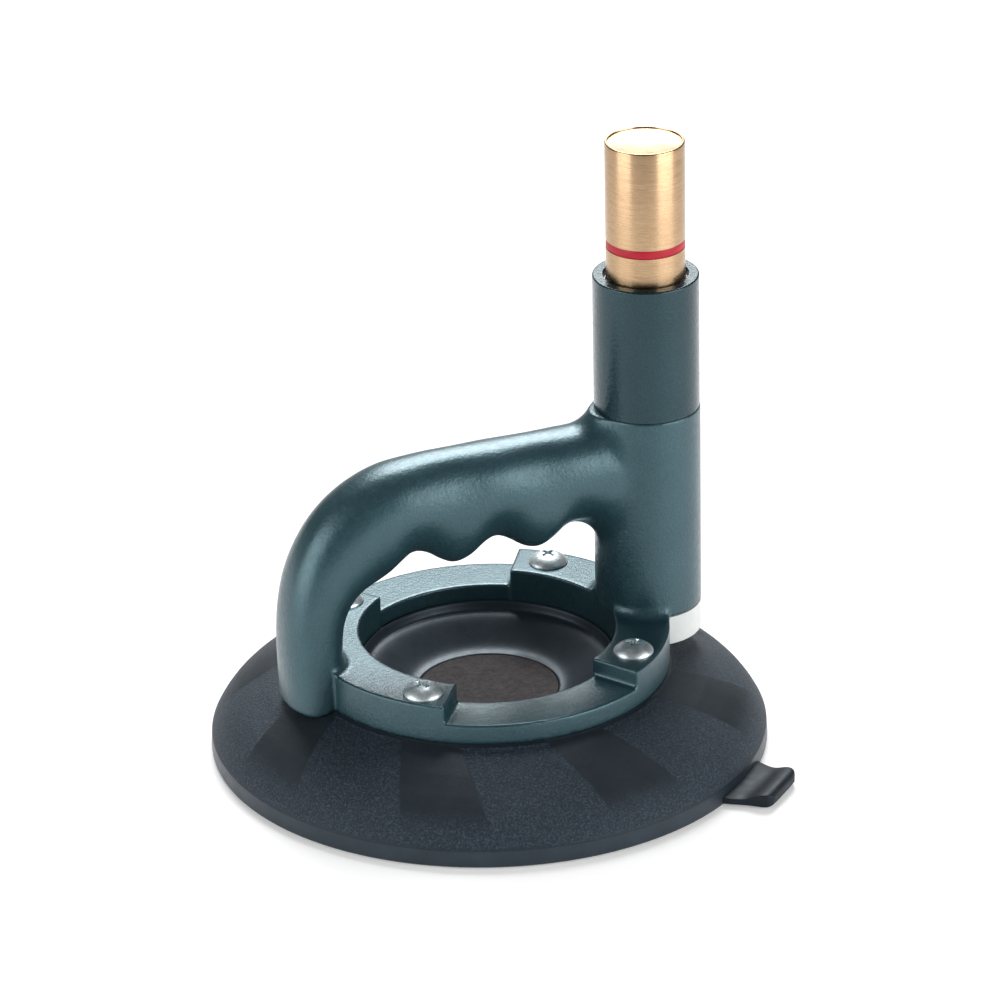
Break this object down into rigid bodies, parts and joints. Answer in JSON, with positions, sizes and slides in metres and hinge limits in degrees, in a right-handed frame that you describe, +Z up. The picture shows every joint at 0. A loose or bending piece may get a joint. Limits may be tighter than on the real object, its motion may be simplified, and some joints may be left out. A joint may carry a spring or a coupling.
{
  "type": "vacuum suction cup",
  "caption": "Hand-held vacuum lifting cup: round rubber pad with a rim tab, bridge grip handle and a sprung pump plunger beside it.",
  "frame": {"origin": "centre of the pad's sealing plane", "axes": "+Z up away from the held surface; +X from the pad's axis towards the pump; the handle lies in the XZ plane"},
  "size_m": [0.2032, 0.2032, 0.222],
  "materials": {
    "handle_paint": "semi-gloss dark teal paint on a cast handle",
    "tube_paint": "semi-gloss dark teal paint",
    "zinc_plate": "bright zinc plate",
    "spring_steel": "drawn spring wire",
    "brushed_brass": "fine turned brush lines round the axis",
    "brass_plain": "machined brass",
    "acetal_black": "machined plastic",
    "white_nylon": "moulded white plastic",
    "red_enamel": "red band",
    "felt": "pressed felt",
    "seal_rubber": "smooth seal rubber",
    "pad_rubber": "moulded rubber, pebbled between smooth ribs",
    "disc_brown": "dull dark brown disc"
  },
  "bodies": {
    "frame": {"handle_casting": "handle_paint", "handle_screws": "zinc_plate", "pump_tube": "tube_paint", "guide_sleeve": "acetal_black", "wiper_ring": "felt", "retaining_ring": "spring_steel", "end_cap": "white_nylon", "cap_o_ring": "seal_rubber", "port_gasket": "seal_rubber", "filter_disc": "felt", "valve_seat": "white_nylon", "valve_cage": "acetal_black", "plunger_spring": "spring_steel", "pad": "pad_rubber", "mounting_plate": "zinc_plate", "threaded_inserts": "zinc_plate", "port_eyelet": "brass_plain", "centre_disc": "disc_brown"},
    "plunger_unit": {"plunger": "brushed_brass", "red_band": "red_enamel", "spring_rest": "brass_plain", "piston": "brass_plain", "piston_cup": "seal_rubber"},
    "valve_disc": {"check_valve": "seal_rubber"},
    "tab": {"release_tab": "pad_rubber"}
  },
  "joints": [
    {"name": "plunger_slide", "type": "slide", "parent": "frame", "child": "plunger_unit", "axis": [0, 0, -1], "range_m": [0, 0.045], "stiffness_N_per_m": 350, "springref_m": -0.02, "deforming": ["plunger_spring"]},
    {"name": "check_valve_lift", "type": "slide", "parent": "frame", "child": "valve_disc", "axis": [0, 0, 1], "range_m": [0, 0.001], "stiffness_N_per_m": 20},
    {"name": "tab_lift", "type": "hinge", "parent": "frame", "child": "tab", "pos_m": [0.06825, -0.0758, 0.0035], "axis": [-0.7431, -0.6691, 0], "range_deg": [0, 35], "stiffness_Nm_per_rad": 0.3}
  ]
}
